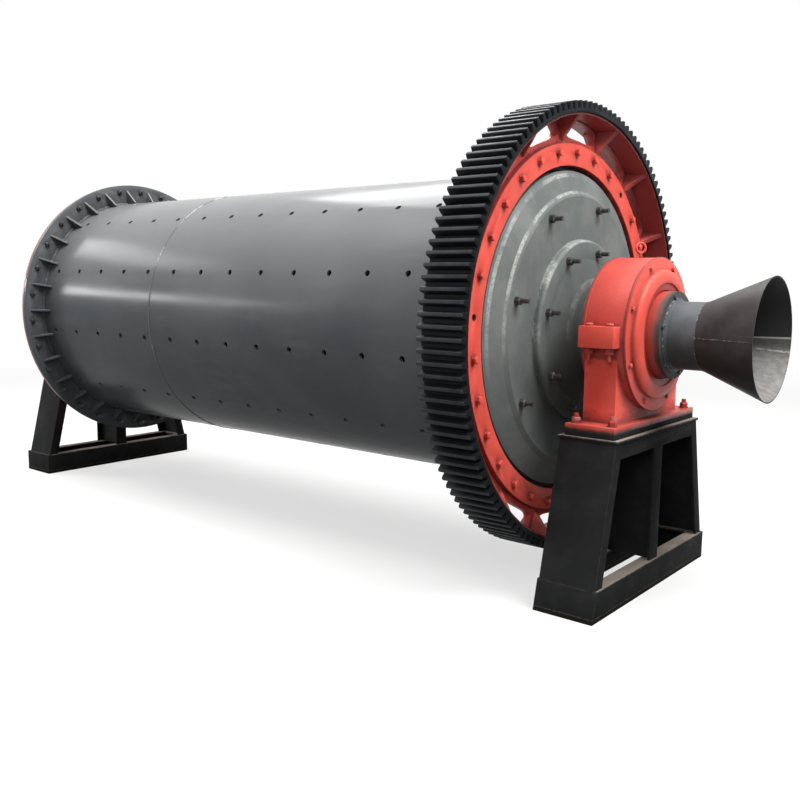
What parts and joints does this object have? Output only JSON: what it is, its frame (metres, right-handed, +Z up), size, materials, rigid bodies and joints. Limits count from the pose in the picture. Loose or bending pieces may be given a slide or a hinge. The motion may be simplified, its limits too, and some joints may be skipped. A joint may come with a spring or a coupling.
{
  "type": "ball mill",
  "caption": "Horizontal ball mill: grey drum with girth gear, turning on hollow trunnions in red pedestal bearings, with a flared discharge horn.",
  "frame": {"origin": "ground level under the middle of the mill's overall length, on the vertical plane of the drum's axis", "axes": "+X along the drum's axis towards the discharge horn, +Y to the far side, +Z up"},
  "size_m": [6.2, 2.5664, 2.7222],
  "materials": {
    "shell_grey": "semi-gloss dark grey paint",
    "cover_grey": "satin grey paint over welds",
    "machine_red": "semi-gloss vermilion paint",
    "gear_black": "satin black",
    "stand_black": "satin black paint, dusty edges",
    "spout_grey": "satin brown-grey paint"
  },
  "bodies": {
    "stand": {"feed_bearing_base": "machine_red", "discharge_bearing_base": "machine_red", "feed_bearing_cap": "machine_red", "discharge_bearing_cap": "machine_red", "feed_outer_cover": "machine_red", "discharge_outer_cover": "machine_red", "feed_inner_cover": "machine_red", "discharge_inner_cover": "machine_red", "feed_lifting_eye": "machine_red", "discharge_lifting_eye": "machine_red", "feed_sole_plate": "stand_black", "discharge_sole_plate": "stand_black", "feed_pedestal_base": "stand_black", "discharge_pedestal_base": "stand_black", "feed_pedestal_legs": "stand_black", "discharge_pedestal_legs": "stand_black", "feed_pedestal_post": "stand_black", "discharge_pedestal_post": "stand_black", "feed_pedestal_beam": "stand_black", "discharge_pedestal_beam": "stand_black"},
    "drum": {"feed_shell_course": "shell_grey", "discharge_shell_course": "shell_grey", "feed_shell_flange": "shell_grey", "discharge_shell_flange": "shell_grey", "feed_gussets": "shell_grey", "discharge_gussets": "shell_grey", "feed_end_ring": "machine_red", "discharge_end_ring": "machine_red", "gear_rim": "gear_black", "gear_spider": "machine_red", "feed_end_cover": "cover_grey", "discharge_end_cover": "cover_grey", "feed_cover_disc": "cover_grey", "discharge_cover_disc": "cover_grey", "feed_hub_plate": "cover_grey", "discharge_hub_plate": "cover_grey", "feed_trunnion": "cover_grey", "discharge_trunnion": "cover_grey", "feed_collar": "spout_grey", "discharge_collar": "spout_grey", "discharge_tube": "spout_grey", "discharge_horn": "spout_grey"}
  },
  "joints": [
    {"name": "drum_spin", "type": "hinge", "parent": "stand", "child": "drum", "pos_m": [0, 0, 1.439], "axis": [1, 0, 0], "continuous": true}
  ]
}
